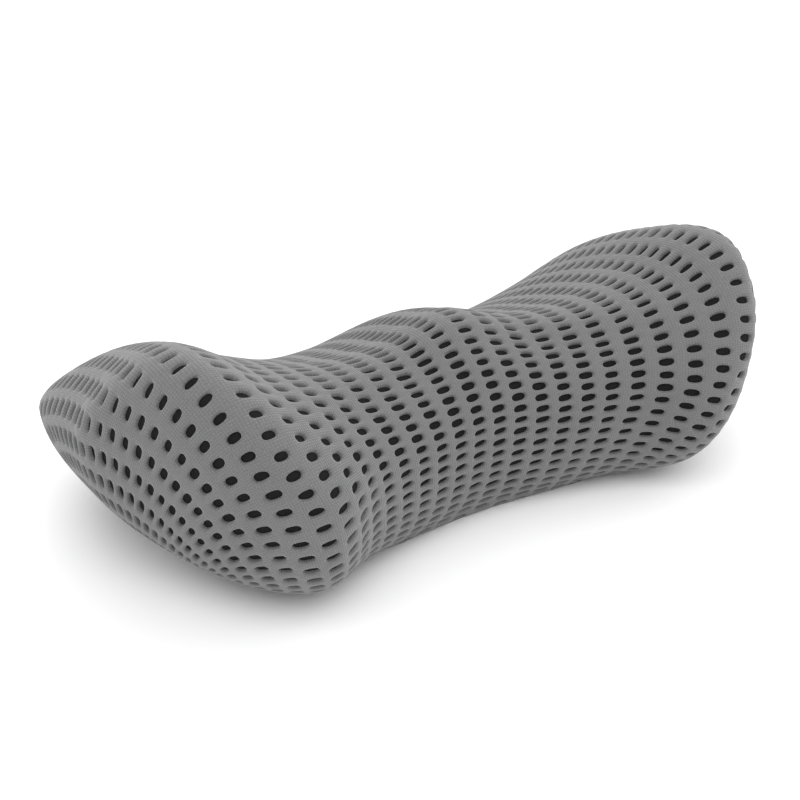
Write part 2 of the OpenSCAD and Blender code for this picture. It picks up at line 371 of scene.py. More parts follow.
# ---------------------------------------------------------------- the cloth laid flat
# The cover has an upper panel and, under the overhanging ends, a lower one. Each is laid
# flat, and its pattern is drawn on the flat cloth.
def unwrap(points):
    """The upper panel laid flat with the least stretch: a place in mm for each point."""
    first = LOWER * AROUND
    own = points[first:]
    faces = (quads[quads.min(1) >= first] - first).tolist() + (fan - first).tolist()
    me = bpy.data.meshes.new("flat")
    me.from_pydata((own * MM).tolist(), [], faces)
    ob = link("flat", me)
    for o in bpy.context.selected_objects:
        o.select_set(False)
    bpy.context.view_layer.objects.active = ob
    ob.select_set(True)
    bpy.ops.object.mode_set(mode="EDIT")
    bpy.ops.mesh.select_all(action="SELECT")
    bpy.ops.uv.unwrap(method="MINIMUM_STRETCH", fill_holes=False, correct_aspect=False,
                      iterations=60)
    bpy.ops.object.mode_set(mode="OBJECT")
    uv = np.zeros(len(me.loops) * 2)
    me.uv_layers.active.data.foreach_get("uv", uv)
    index = np.zeros(len(me.loops), dtype=int)
    me.loops.foreach_get("vertex_index", index)
    laid = np.zeros((len(own), 2))
    laid[index] = uv.reshape(-1, 2)
    bpy.data.objects.remove(ob)
    # true size over the upper side, turned to run along the cushion, not mirrored
    near = np.where((rest_n[first:, 2] > -0.35) & (np.abs(own[:, 0]) < 160))[0]
    near = near[near + AROUND < len(own) - 1]
    d3 = np.linalg.norm(own[near + AROUND] - own[near], axis=1)
    d2 = np.linalg.norm(laid[near + AROUND] - laid[near], axis=1)
    laid = (laid - laid[-1]) * (d3.sum() / d2.sum())
    near = np.linalg.norm(own[:, :2] - own[-1, :2], axis=1) < 70
    m = np.linalg.lstsq(laid[near], own[near, :2] - own[-1, :2], rcond=None)[0].T
    if np.linalg.det(m) < 0:
        laid[:, 0] *= -1
        m = np.linalg.lstsq(laid[near], own[near, :2] - own[-1, :2], rcond=None)[0].T
    turn = math.atan2(m[1, 0] - m[0, 1], m[0, 0] + m[1, 1])
    c, s = math.cos(turn), math.sin(turn)
    laid = laid @ np.array([[c, s], [-s, c]])
    out = np.zeros((len(points), 2))
    out[first:] = laid
    ring = out[:-1].reshape(rings, AROUND, 2)
    ring[LOWER - 1] = 2 * ring[LOWER] - ring[LOWER + 1]
    return out


def unfold_lower(points):
    """The lower panel laid flat: each line from the base's edge outwards keeps its length."""
    grid = points[:-1].reshape(rings, AROUND, 3)
    rim, edge = grid[0, :, :2], grid[LOWER, :, :2]
    out = edge - rim
    out /= np.maximum(np.linalg.norm(out, axis=1, keepdims=True), 1e-9)
    step = np.linalg.norm(np.diff(grid[:LOWER + 2], axis=0), axis=2)
    arc = np.vstack([np.zeros((1, AROUND)), np.cumsum(step, 0)])
    laid = np.zeros((len(points), 2))
    ring = laid[:-1].reshape(rings, AROUND, 2)
    ring[:LOWER + 2] = rim[None] + out[None] * arc[:, :, None]
    laid[:, 0] *= -1
    return laid


def swell(points, normals):
    """Cloth simulation of the cover: it starts a little inside the form and is blown up
    against its own seams, so it stands softly crowned. Returns how far out each point goes,
    in mm."""
    me = bpy.data.meshes.new("cover_cloth")
    start = points - normals * START_IN
    me.from_pydata((start * MM).tolist(), [], quads.tolist() + fan.tolist())
    ob = link("cover_cloth", me)
    held = ob.vertex_groups.new(name="held")
    held.add(list(range(AROUND * 2)), 1.0, "REPLACE")
    # the rear wall is held round the zip and the label
    by_zip = (points[:, 2] < HELD_Z) & (np.abs(points[:, 0]) < HELD_X)
    wall = np.where((points[:, 1] > WALL_Y - 2.0) & by_zip)[0]
    held.add(wall.tolist(), 1.0, "REPLACE")
    cloth = ob.modifiers.new("Cloth", "CLOTH")
    st = cloth.settings
    st.quality = 6
    st.mass = 0.35
    st.tension_stiffness = st.compression_stiffness = 18
    st.shear_stiffness = 8
    st.bending_stiffness = 1.5
    st.use_pressure = True
    st.uniform_pressure_force = 4
    st.effector_weights.gravity = 0
    st.vertex_group_mass = "held"
    cloth.point_cache.frame_start, cloth.point_cache.frame_end = 1, FRAMES
    scene = bpy.context.scene
    for f in range(1, FRAMES + 1):
        scene.frame_set(f)
    dg = bpy.context.evaluated_depsgraph_get()
    done = ob.evaluated_get(dg).to_mesh()
    moved = np.zeros(len(points) * 3)
    done.vertices.foreach_get("co", moved)
    moved = moved.reshape(-1, 3) / MM - points
    scene.frame_set(1)
    bpy.data.objects.remove(ob)
    along = (moved * normals).sum(1)
    free = np.ones(len(points))
    free[:AROUND * 2] = 0
    free[wall] = 0
    along = SWELL_CAP * np.tanh(along / SWELL_CAP) * free
    crest = -1 - 4 * AROUND
    along[crest:] = along[crest:].mean()
    # the cloth is even: what differs from ring to ring by a point or two is smoothed out
    grid = along[:-1].reshape(rings, AROUND)
    for _ in range(3):
        beside = np.roll(grid, 1, 1) + np.roll(grid, -1, 1)
        grid[1:-1] = 0.5 * grid[1:-1] + 0.125 * (grid[:-2] + grid[2:] + beside[1:-1])
    return along


push = swell(rest, rest_n)

# ---------------------------------------------------------------- a finer form to drape on
FINE = 3


def refine(v):
    """Values on the coarse rings carried to rings FINE times as fine."""
    g = v[:-1].reshape(rings, AROUND, -1)
    g = np.concatenate([g, np.broadcast_to(v[-1], (1, AROUND, g.shape[2]))])
    i = np.arange(rings * FINE) / FINE
    lo = np.minimum(i.astype(int), rings - 1)
    t = (i - lo)[:, None, None]
    prev, nxt, after = g[np.maximum(lo - 1, 0)], g[lo + 1], g[np.minimum(lo + 2, rings)]
    mid = g[lo]
    first = (lo == 0)[:, None, None]
    prev = np.where(first, 2 * mid - nxt, prev)
    rows = 0.5 * (2 * mid + (nxt - prev) * t + (2 * prev - 5 * mid + 4 * nxt - after) * t ** 2
                  + (3 * mid - prev - 3 * nxt + after) * t ** 3)
    j = np.arange(AROUND * FINE) / FINE
    lo = j.astype(int)
    t = (j - lo)[None, :, None]
    a, b, c, d = (rows[:, (lo + k) % AROUND] for k in (-1, 0, 1, 2))
    fine = 0.5 * (2 * b + (c - a) * t + (2 * a - 5 * b + 4 * c - d) * t ** 2
                  + (3 * b - a - 3 * c + d) * t ** 3)
    return np.vstack([fine.reshape(-1, v.shape[1] if v.ndim > 1 else 1), np.atleast_2d(v[-1])])


fine, fine_rings = grid_form(AROUND * FINE, LOWER * FINE, UPPER * FINE)
fq, ff = grid_faces(AROUND * FINE, fine_rings)
fine_push = refine(push[:, None])[:, 0]
fine_n = point_normals(fine, [fq, ff])
fine = fine + fine_n * fine_push[:, None]
tris = np.vstack([fq[:, [0, 1, 2]], fq[:, [0, 2, 3]], ff])
BORDER = LOWER * FINE * AROUND * FINE


def chart(laid, upper):
    """One flat panel, ready to be draped."""
    own = tris[tris.min(1) >= BORDER] if upper else tris[tris.max(1) < BORDER + AROUND * FINE]
    place = refine(laid)
    used = np.unique(own)
    remap = np.full(len(fine), -1)
    remap[used] = np.arange(len(used))
    flat = place[used]
    tree = BVHTree.FromPolygons([(float(x), float(y), 0.0) for x, y in flat], remap[own].tolist())
    return {"tree": tree, "tris": own, "place": place, "lo": flat.min(0), "hi": flat.max(0)}


def drape(panel, uv):
    """Places and directions on the cushion of points of the flat cloth, and how far each
    lies outside the cloth's edge."""
    index = np.zeros(len(uv), dtype=int)
    near = np.zeros((len(uv), 2))
    off = np.zeros(len(uv))
    for k, (x, y) in enumerate(uv.tolist()):
        loc, _, i, dist = panel["tree"].find_nearest(Vector((x, y, 0.0)))
        index[k], near[k], off[k] = i, (loc.x, loc.y), dist
    t = panel["tris"][index]
    a, b, c = (panel["place"][t[:, k]] for k in range(3))
    v0, v1, v2 = b - a, c - a, near - a
    den = v0[:, 0] * v1[:, 1] - v1[:, 0] * v0[:, 1]
    den = np.where(np.abs(den) < 1e-9, 1e-9, den)
    w1 = (v2[:, 0] * v1[:, 1] - v1[:, 0] * v2[:, 1]) / den
    w2 = (v0[:, 0] * v2[:, 1] - v2[:, 0] * v0[:, 1]) / den
    w = np.clip(np.stack([1 - w1 - w2, w1, w2], 1), 0, 1)
    w /= w.sum(1, keepdims=True)
    p = (fine[t] * w[:, :, None]).sum(1)
    n = (fine_n[t] * w[:, :, None]).sum(1)
    return p, n / np.linalg.norm(n, axis=1, keepdims=True), off


# ---------------------------------------------------------------- the open mesh face
# the net's columns and the holes along them, and a hole's half length and half height
COLUMN, PITCH = 16.4, 9.1
HOLE_L, HOLE_H, HOLE_ROUND = 4.75, 2.55, 0.86
# how little and how much a hole gives where the cloth is stretched or gathered, and how
# uneven the holes are
EASE_MIN, EASE_MAX, UNEVEN = 0.55, 1.14, 0.04
# how far from the zip's opening the net is pressed flat, and how deep
PRESS, PRESS_IN = 2.6, 0.9
side = (COLUMN ** 2 - PITCH ** 2 / 4) / (2 * COLUMN)
point = (COLUMN ** 2 + PITCH ** 2 / 4) / (2 * COLUMN)


def cell_edge():
    """The edge of one cell, with the steps that its neighbours have: six corners."""
    corners = [(side, PITCH / 2, 4), (-side, PITCH / 2, 3), (-point, 0, 3), (-side, -PITCH / 2, 4),
               (side, -PITCH / 2, 3), (point, 0, 3)]
    out = []
    for k, (x, y, n) in enumerate(corners):
        x2, y2, _ = corners[(k + 1) % 6]
        out += [(x + (x2 - x) * i / n, y + (y2 - y) * i / n) for i in range(n)]
    return np.array(out)


EDGE = cell_edge()
around_hole = np.arctan2(EDGE[:, 1] / PITCH * 2, EDGE[:, 0] / point)
cos_hole, sin_hole = np.cos(around_hole), np.sin(around_hole)
RIM = np.stack([HOLE_L * np.sign(cos_hole) * np.abs(cos_hole) ** HOLE_ROUND,
                HOLE_H * np.sign(sin_hole) * np.abs(sin_hole) ** HOLE_ROUND], 1)
# how far each ring lies from the cell's edge to the hole's rim, and its height in mm
RINGS = [(0.0, 0.10), (0.5, 0.0), (0.85, -0.35), (1.0, -1.15), (0.98, -2.9)]


def open_mesh(panel):
    """The knitted face of the 3-D mesh: a net of rounded strands round oval holes."""
    lo, hi = panel["lo"], panel["hi"]
    cells = []
    for i in range(int(lo[0] / COLUMN) - 2, int(hi[0] / COLUMN) + 3):
        for j in range(int(lo[1] / PITCH) - 2, int(hi[1] / PITCH) + 3):
            cells.append((i * COLUMN, (j + (i % 2) / 2) * PITCH))
    cells = np.array(cells)
    _, _, off = drape(panel, cells)
    cells = cells[off < 3.0]
    n = len(EDGE)
    # the knit gives between the holes, so the holes keep their size where it is stretched
    step = 1.5
    du = (drape(panel, cells + [step, 0])[0] - drape(panel, cells - [step, 0])[0]) / (2 * step)
    dv = (drape(panel, cells + [0, step])[0] - drape(panel, cells - [0, step])[0]) / (2 * step)
    g = np.stack([(du * du).sum(1), (du * dv).sum(1), (dv * dv).sum(1)], 1)
    metric = np.stack([g[:, [0, 1]], g[:, [1, 2]]], 1) + 1e-4 * np.eye(2)
    values, vectors = np.linalg.eigh(metric)
    ease = np.clip(1 / np.sqrt(values), EASE_MIN, EASE_MAX)
    relax = np.einsum("nij,nj,nkj->nik", vectors, ease, vectors)
    size = 1 + UNEVEN * rng.standard_normal((len(cells), 1, 1))
    hole = np.einsum("nij,kj->nki", relax, RIM) * size
    uv = np.stack([cells[:, None, :] + EDGE[None] + (hole - EDGE[None]) * f for f, _ in RINGS], 1)
    depth = np.array([h for _, h in RINGS])
    depth = np.broadcast_to(depth[None, :, None], uv.shape[:3]).reshape(-1)
    uv = uv.reshape(-1, 2)
    # points shared by neighbours are one point
    key = np.round(uv / 0.02).astype(np.int64)
    ring_of = np.arange(len(RINGS))[None, :, None]
    ring_of = np.broadcast_to(ring_of, (len(cells), len(RINGS), n)).reshape(-1)
    key = key[:, 0] * 4000003 + key[:, 1] * 7 + (ring_of > 0) * np.arange(len(uv)) * 10 ** 12
    _, first, back = np.unique(key, return_index=True, return_inverse=True)
    uv, depth = uv[first], depth[first]
    ids = back.reshape(len(cells), len(RINGS), n)
    p, d, off = drape(panel, uv)
    # the net ends at its own edges and at the zip's opening, and is pressed flat round the zip
    a, b = ids[:, :-1], ids[:, 1:]
    faces = np.stack([a, b, np.roll(b, -1, 2), np.roll(a, -1, 2)], -1).reshape(-1, 4)
    outside_edge = off > 0.01
    gone = outside_edge[faces].all(1)
    hx, hz = OPEN_L / 2, OPEN_H / 2
    on_wall = p[:, 1] > WALL_Y - 3.5
    dx, dz = np.abs(p[:, 0]) - hx, np.abs(p[:, 2] - ZIP_Z) - hz
    in_zip = on_wall & (dx < 0) & (dz < 0)
    gone |= in_zip[faces].all(1)
    to_x = in_zip & (dx > dz)
    to_z = in_zip & ~to_x
    p[to_x, 0] = np.sign(p[to_x, 0]) * hx
    p[to_z, 2] = ZIP_Z + np.sign(p[to_z, 2] - ZIP_Z) * hz
    rim = np.maximum(dx, dz)
    near_zip = on_wall & (rim < PRESS)
    press = np.where(near_zip, np.clip(rim / PRESS, 0, 1), 1.0)
    depth = depth * press - PRESS_IN * (1 - press)
    p = p + d * depth[:, None]
    mid = p[faces].mean(1)
    in_x, in_z = np.abs(mid[:, 0]) < hx - 0.3, np.abs(mid[:, 2] - ZIP_Z) < hz - 0.3
    gone |= (mid[:, 1] > WALL_Y - 6) & in_x & in_z
    faces = faces[~gone]
    used = np.unique(faces)
    remap = np.full(len(p), -1)
    remap[used] = np.arange(len(used))
    return p[used], remap[faces], np.column_stack([uv[used], depth[used]])


top_net = open_mesh(chart(unwrap(rest), True))
low_net = open_mesh(chart(unfold_lower(rest), False))
net_p, net_uv = np.vstack([top_net[0], low_net[0]]), np.vstack([top_net[2], low_net[2]])
net_f = np.vstack([top_net[1], low_net[1] + len(top_net[0])])
net = make("cover_mesh_face", net_p, [net_f[:, ::-1]], mesh_mat, net_uv)


def shell(name, inset, thick, material):
    """A skin at an inset from the form, open over the base, closed by its thickness."""
    p = fine - fine_n * inset
    q = p - fine_n * thick
    count = AROUND * FINE
    rim = np.arange(count)
    nxt = np.roll(rim, -1)
    m = len(p)
    wall = np.stack([rim, rim + m, nxt + m, nxt], -1)
    faces = [fq, ff, fq[:, ::-1] + m, ff[:, ::-1] + m, wall]
    return make(name, np.vstack([p, q]), faces, material, np.vstack([fine, fine]))


# the layer behind the holes: its near-black colour is painted shade, the shadow deep in the holes
shell("cover_mesh_back", PILE_IN, PILE_T, pile_painted_shade_mat)
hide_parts("cover_top")

# ---------------------------------------------------------------- the zip
def sweep(path, radius, sides):
    """A round bar along a path, in mm: points and four-sided faces."""
    path = np.asarray(path, float)
    ahead = np.roll(path, -1, 0) - np.roll(path, 1, 0)
    ahead[0], ahead[-1] = path[1] - path[0], path[-1] - path[-2]
    ahead /= np.linalg.norm(ahead, axis=1, keepdims=True)
    n = len(path)
    r = np.broadcast_to(np.reshape(radius, (-1, 1, 1)), (n, 1, 1))
    ref = np.array([0.31, 0.22, 0.93])
    u = np.cross(ahead, ref)
    u /= np.linalg.norm(u, axis=1, keepdims=True)
    v = np.cross(ahead, u)
    a = np.linspace(0, 2 * np.pi, sides, endpoint=False)
    c, s = np.cos(a)[None, :, None], np.sin(a)[None, :, None]
    p = path[:, None] + r * (c * u[:, None] + s * v[:, None])
    i, j = np.meshgrid(np.arange(n - 1), np.arange(sides), indexing="ij")
    here, nxt, beside = i * sides, (i + 1) * sides, (j + 1) % sides
    f = np.stack([here + j, here + beside, nxt + beside, nxt + j], -1)
    return p.reshape(-1, 3), f.reshape(-1, 4)


def join(parts):
    """Several (points, faces) as one."""
    points, faces, k = [], [], 0
    for p, f in parts:
        points.append(p)
        faces.append(np.asarray(f) + k)
        k += len(p)
    return np.vstack(points), np.vstack(faces)


def capsule(a, b, radius, bow, out, sides=8):
    """One stitch from a to b: it comes out of the cloth, bows out, and goes back in."""
    a, b, out = np.array(a, float), np.array(b, float), np.array(out, float)
    t = np.linspace(0, 1, 9)
    lift = np.array([-1.6, -0.1, 0.55, 0.9, 1.0, 0.9, 0.55, -0.1, -1.6]) * bow
    path = a + (b - a) * t[:, None] + out * lift[:, None]
    r = radius * np.array([0.35, 0.8, 1, 1, 1, 1, 1, 0.8, 0.35])
    return sweep(path, r, sides)


def plate(outline, holes, thick, bevel):
    """A flat plate with rounded edges from outlines in mm. Its thickness lies along Y."""
    cu = bpy.data.curves.new("plate", "CURVE")
    cu.dimensions = "2D"
    cu.fill_mode = "BOTH"
    cu.extrude = thick / 2 - bevel
    cu.bevel_depth = bevel
    cu.bevel_resolution = 3
    cu.offset = -bevel
    for ring in [outline] + list(holes):
        sp = cu.splines.new("POLY")
        sp.points.add(len(ring) - 1)
        for k, (x, y) in enumerate(ring):
            sp.points[k].co = (x, y, 0, 1)
        sp.use_cyclic_u = True
    ob = link("plate", cu)
    dg = bpy.context.evaluated_depsgraph_get()
    me = bpy.data.meshes.new_from_object(ob.evaluated_get(dg))
    v = np.zeros(len(me.vertices) * 3)
    me.vertices.foreach_get("co", v)
    v = v.reshape(-1, 3)[:, [0, 2, 1]]
    faces = [list(p.vertices)[::-1] for p in me.polygons]
    bpy.data.objects.remove(ob)
    bpy.data.meshes.remove(me)
    return v, faces


def rounded(points, radius, steps=5):
    """The outline with each corner rounded."""
    out = []
    n = len(points)
    for k in range(n):
        p, a, b = (np.array(points[(k + d) % n], float) for d in (0, -1, 1))
        da, db = a - p, b - p
        la, lb = np.linalg.norm(da), np.linalg.norm(db)
        r = min(radius, 0.48 * la, 0.48 * lb)
        p0, p1 = p + da / la * r, p + db / lb * r
        for i in range(steps + 1):
            t = i / steps
            out.append(tuple((1 - t) ** 2 * p0 + 2 * t * (1 - t) * p + t * t * p1))
    return out


def from_parts(name, parts, material, body):
    """One object from several (points, faces) with faces of any size."""
    points, faces, k = [], [], 0
    for p, f in parts:
        points.append(np.asarray(p, float))
        faces += [[int(i) + k for i in face] for face in f]
        k += len(p)
    me = bpy.data.meshes.new(name)
    me.from_pydata((np.vstack(points) * MM).tolist(), [], faces)
    me.validate()
    me.polygons.foreach_set("use_smooth", [True] * len(me.polygons))
    me.set_sharp_from_angle(angle=math.radians(40))
    me.materials.append(material)
    ob = link(name, me)
    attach(ob, body)
    return ob


SIDES = ((1, "upper"), (-1, "lower"))


def zip_tapes():
    """Woven tapes with a rolled selvedge and the cord that the coil is sewn to."""
    for side, name in SIDES:
        z0, z1 = ZIP_Z + side * 0.45, ZIP_Z + side * 8.95
        xs = np.linspace(-OPEN_L / 2 - 8, OPEN_L / 2 + 8, 109)
        # the place across the tape as a fraction of its width, and the height on it in mm
        across = [(0.0, 0.0), (0.04, 0.35), (0.12, 0.42), (0.2, 0.12), (0.5, 0.05), (0.9, 0.05),
                  (0.96, 0.14), (1.0, 0.0)]
        section = [(f, TAPE_Y + h * 0.7) for f, h in across]
        section += [(f, TAPE_Y - 0.6) for f, _ in across[::-1]]
        n = len(section)
        p = np.array([[(x, y + 0.05 * math.sin(x * 0.21 + 3 * f), z0 + (z1 - z0) * f)
                       for f, y in section] for x in xs]).reshape(-1, 3)
        i, j = np.meshgrid(np.arange(len(xs) - 1), np.arange(n), indexing="ij")
        here, nxt, beside = i * n, (i + 1) * n, (j + 1) % n
        f = np.stack([here + j, here + beside, nxt + beside, nxt + j], -1)
        faces = f.reshape(-1, 4)[:, ::side].tolist()
        ends = [list(range(n))[::-side], list(range((len(xs) - 1) * n, len(xs) * n))[::side]]
        ob = from_parts("zip_tape_%s_woven" % name, [(p, faces + ends)], tape_mat, "cushion")
        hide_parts("zip_tape_%s" % name)


def zip_coils():
    """Each coil is one long nylon filament, wound on its tape. Real coils mesh. These stand
    apart and never do, so that the slider's post can run between them."""
    run, pitch, wire = 190.0, 1.5, 0.30
    turns = int(run / pitch)
    for side, name in SIDES:
        t = np.linspace(0, turns, turns * 16 + 1)
        a = 2 * np.pi * t * side + (0 if side > 0 else np.pi)
        x = -run / 2 + t * pitch + (0 if side > 0 else pitch / 2)
        y = TAPE_Y + 1.12 + 0.72 * np.sin(a)
        z = ZIP_Z + side * (1.82 + 1.2 * np.cos(a))
        p, f = sweep(np.stack([x, y, z], 1), wire, 7)
        ob = from_parts("zip_coil_%s_filament" % name, [(p, f.tolist())], nylon_mat, "cushion")
        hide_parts("zip_coil_%s" % name)
        # the sewing that holds the coil down
        parts = []
        y, z = TAPE_Y + 1.55, ZIP_Z + side * 2.2
        for k in range(turns):
            x = -run / 2 + (k + 0.25) * pitch
            parts.append(capsule((x - 0.35, y, z), (x + 0.95, y, z), 0.16, 0.35, (0, 1, 0), 5))
        p, f = join(parts)
        from_parts("zip_coil_%s_sewing" % name, [(p, f.tolist())], tape_mat, "cushion")


def box_outline(x0, x1, half):
    return [(x0, -half), (x1, -half), (x1, half), (x0, half)]


def zip_stops():
    """Moulded stops: a pair at the closed end and a box at the other."""
    for name, x, wide, zs in (("zip_top_stops", OPEN_L / 2 - 1.3, 2.4, (1.45, -1.45)),
                              ("zip_bottom_stop", -OPEN_L / 2 + 1.3, 4.9, (0.0,))):
        parts = []
        for z in zs:
            v, f = plate(rounded(box_outline(-1.2, 1.2, wide / 2), 0.6), [], 2.0, 0.45)
            parts.append((v + np.array([x, TAPE_Y + 1.0, ZIP_Z + z]), f))
        ob = from_parts(name + "_moulded", parts, nylon_mat, "cushion")
        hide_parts(name)


def zip_hem():
    """The turned edge of the mesh round the opening, and its two rows of stitches."""
    hx, hz = OPEN_L / 2, OPEN_H / 2
    corners = [(hx, hz), (-hx, hz), (-hx, -hz), (hx, -hz)]
    # mm out from the opening's edge, and mm out from the wall
    section = [(0.0, -4.2), (-0.1, -2.0), (0.0, -0.9), (0.2, -0.3), (0.6, 0.02), (1.1, 0.05),
               (1.6, -0.12), (2.1, 0.05), (2.6, 0.0), (3.0, -0.35), (3.3, -1.0), (3.3, -1.8)]
    places, outs = [], []
    for k in range(4):
        (x0, z0), (x1, z1) = corners[k], corners[(k + 1) % 4]
        turn = 90 * k
        for i in range(7):
            a = math.radians(turn + 90 * i / 6)
            places.append((x0, z0))
            outs.append((math.cos(a), math.sin(a)))
        steps = 120 if k % 2 == 0 else 6
        a = math.radians(turn + 90)
        for i in range(1, steps):
            places.append((x0 + (x1 - x0) * i / steps, z0 + (z1 - z0) * i / steps))
            outs.append((math.cos(a), math.sin(a)))
    places, outs = np.array(places), np.array(outs)
    n, m = len(places), len(section)
    pts, at = [], []
    for k in range(n):
        ripple = 0.06 * math.sin(k * 0.9)
        for d, h in section:
            x, z = places[k] + outs[k] * d
            pts.append((x, WALL_Y + h + ripple * (d > 0.1), ZIP_Z + z))
            at.append((x, z + (0 if d > 0 else h), h))
    i, j = np.meshgrid(np.arange(n), np.arange(m - 1), indexing="ij")
    k = (i + 1) % n
    f = np.stack([i * m + j, k * m + j, k * m + j + 1, i * m + j + 1], -1).reshape(-1, 4)
    make("cover_zip_hem", pts, [f[:, ::-1]], mesh_mat, np.array(at))
    for side, name in SIDES:
        parts = []
        y, z = WALL_Y - 0.1, ZIP_Z + side * 6.6
        for k in range(28):
            for dx in (0.0, 3.5):
                x = (k - 13.5) * 7 - 1.5 + dx
                parts.append(capsule((x, y, z), (x + 3.0, y, z), 0.24, 0.28, (0, 1, 0)))
        p, f = join(parts)
        ob = from_parts("zip_stitch_%s_thread" % name, [(p, f.tolist())], thread_mat, "cushion")
        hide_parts("zip_stitch_%s" % name)


SLIDER_X = 91.0


def zip_slider():
    """A cast slider: two shield-shaped plates, side flanges, a post and a bridge."""
    shield = rounded([(5.5, -2.6), (5.5, 2.6), (3.4, 4.2), (-3.6, 3.7), (-5.5, 2.4), (-5.5, -2.4),
                      (-3.6, -3.7), (3.4, -4.2)], 1.3)
    parts = []
    for y in (125.5, 121.7):
        v, f = plate(shield, [], 0.8, 0.22)
        parts.append((v + np.array([SLIDER_X, y, ZIP_Z]), f))
    flange = [(-4.6, 124.9, 3.3), (-3.0, 124.8, 3.75), (0.0, 124.8, 3.95), (3.2, 124.8, 3.95),
              (4.6, 124.9, 3.2)]
    for side, _ in SIDES:
        for down, radius in ((0.0, [0.25, 0.45, 0.5, 0.45, 0.25]),
                             (1.0, [0.2, 0.4, 0.45, 0.4, 0.2])):
            p, f = sweep([(SLIDER_X + x, y - down, ZIP_Z + side * z) for x, y, z in flange],
                         radius, 10)
            parts.append((p, f.tolist()))
    post = rounded(box_outline(2.6, 5.2, 0.25), 0.2, 3)
    v, f = plate(post, [], 3.2, 0.05)
    parts.append((v + np.array([SLIDER_X, 123.6, ZIP_Z]), f))
    # the bridge is a flat strip bent into an arch
    half_arch = [(4.3, 125.7), (4.2, 127.4), (3.8, 128.7), (2.8, 129.45), (1.2, 129.6)]
    arch = [(-x, y) for x, y in half_arch] + half_arch[::-1]
    strip = ((-0.75, -0.12), (-0.6, 0.3), (0.6, 0.3), (0.75, -0.12), (0.6, -0.3), (-0.6, -0.3))
    pts = []
    for k, (x, y) in enumerate(arch):
        a, b = arch[max(k - 1, 0)], arch[min(k + 1, len(arch) - 1)]
        d = np.array([b[0] - a[0], b[1] - a[1]])
        d /= np.linalg.norm(d)
        nx, ny = -d[1], d[0]
        for w, t in strip:
            pts.append((SLIDER_X + x + nx * t, y + ny * t, ZIP_Z + w))
    n, m = len(arch), len(strip)
    f = [[i * m + j, i * m + (j + 1) % m, (i + 1) * m + (j + 1) % m, (i + 1) * m + j]
         for i in range(n - 1) for j in range(m)]
    f += [list(range(m))[::-1], list(range((n - 1) * m, n * m))]
    parts.append((np.array(pts), f))
    ob = from_parts("zip_slider_cast", parts, metal_mat, "slider")
    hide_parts("zip_slider")


def zip_pull():
    """A stamped pull tab: a bar under the bridge, a slotted neck, and a grip with a hole."""
    upper = [(0.6, 2.8), (-5.5, 2.8), (-9.0, 2.1), (-17.0, 2.35), (-23.0, 2.8), (-26.0, 1.6)]
    lower = [(x, -z) for x, z in upper[::-1]]
    outline = rounded(lower[-1:] + upper + lower[:-1], 1.4)
    eye = rounded(box_outline(-0.7, -4.9, 1.5), 0.7)
    hole = rounded(box_outline(-20.6, -24.0, 1.1), 1.0)
    v, f = plate(outline, [eye, hole], 1.0, 0.24)
    parts = [(v, f)]
    for k in range(5):
        x = -11.0 - 1.6 * k
        for y in (0.5, -0.5):
            p, g = sweep([(x, y, -1.5), (x, y, 1.5)], 0.22, 8)
            parts.append((p, g.tolist()))
    p, g = sweep([(0, 0, -2.7), (0, 0, 2.7)], 0.5, 14)
    parts.append((p, g.tolist()))
    at = np.array([SLIDER_X, WALL_Y + 0.8, ZIP_Z])
    parts = [(p + at, g) for p, g in parts]
    ob = from_parts("zip_pull_stamped", parts, metal_mat, "pull")
    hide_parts("zip_pull")


def care_label():
    """A blank satin label, folded double, sewn down along its upper edge."""
    x0, x1, half = 122, 150, 9
    nx, nz = 28, 18
    gx, gz = np.meshgrid(np.linspace(x0, x1, nx + 1),
                         np.linspace(LABEL_Z + half, LABEL_Z - half, nz + 1))
    # it lifts towards its free lower edge, in a soft wave
    free = (LABEL_Z + half - gz) / (2 * half)
    lift = 0.25 + free ** 2 * (0.9 + 0.5 * np.sin((gx - x0) * 0.22))
    lift = lift + 0.05 * np.sin(gx * 0.9) * free
    outer = np.stack([gx, WALL_Y + lift + 0.45, gz], -1).reshape(-1, 3)
    inner = np.stack([gx, WALL_Y + lift, gz], -1).reshape(-1, 3)
    m = len(outer)
    i, j = np.meshgrid(np.arange(nz), np.arange(nx), indexing="ij")
    w = nx + 1
    here, nxt = i * w + j, (i + 1) * w + j
    q = np.stack([here, nxt, nxt + 1, here + 1], -1).reshape(-1, 4)
    border = np.array(list(range(nx)) + [nx + w * k for k in range(nz)]
                      + [nz * w + k for k in range(nx, 0, -1)] + [w * k for k in range(nz, 0, -1)])
    nxt = np.roll(border, -1)
    wall = np.stack([border, nxt, nxt + m, border + m], -1)
    faces = q[:, ::-1].tolist() + (q + m).tolist() + wall.tolist()
    ob = from_parts("care_label_satin", [(np.vstack([outer, inner]), faces)], label_mat, "cushion")
    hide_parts("care_label")
    y, z = WALL_Y + 0.75, LABEL_Z + 7.6
    p, f = join([capsule((122.8 + 2.7 * k, y, z), (124.6 + 2.7 * k, y, z), 0.17, 0.2, (0, 1, 0), 6)
                 for k in range(10)])
    from_parts("care_label_stitches", [(p, f.tolist())], thread_mat, "cushion")


zip_tapes()
zip_coils()
zip_stops()
zip_hem()
zip_slider()
zip_pull()
care_label()


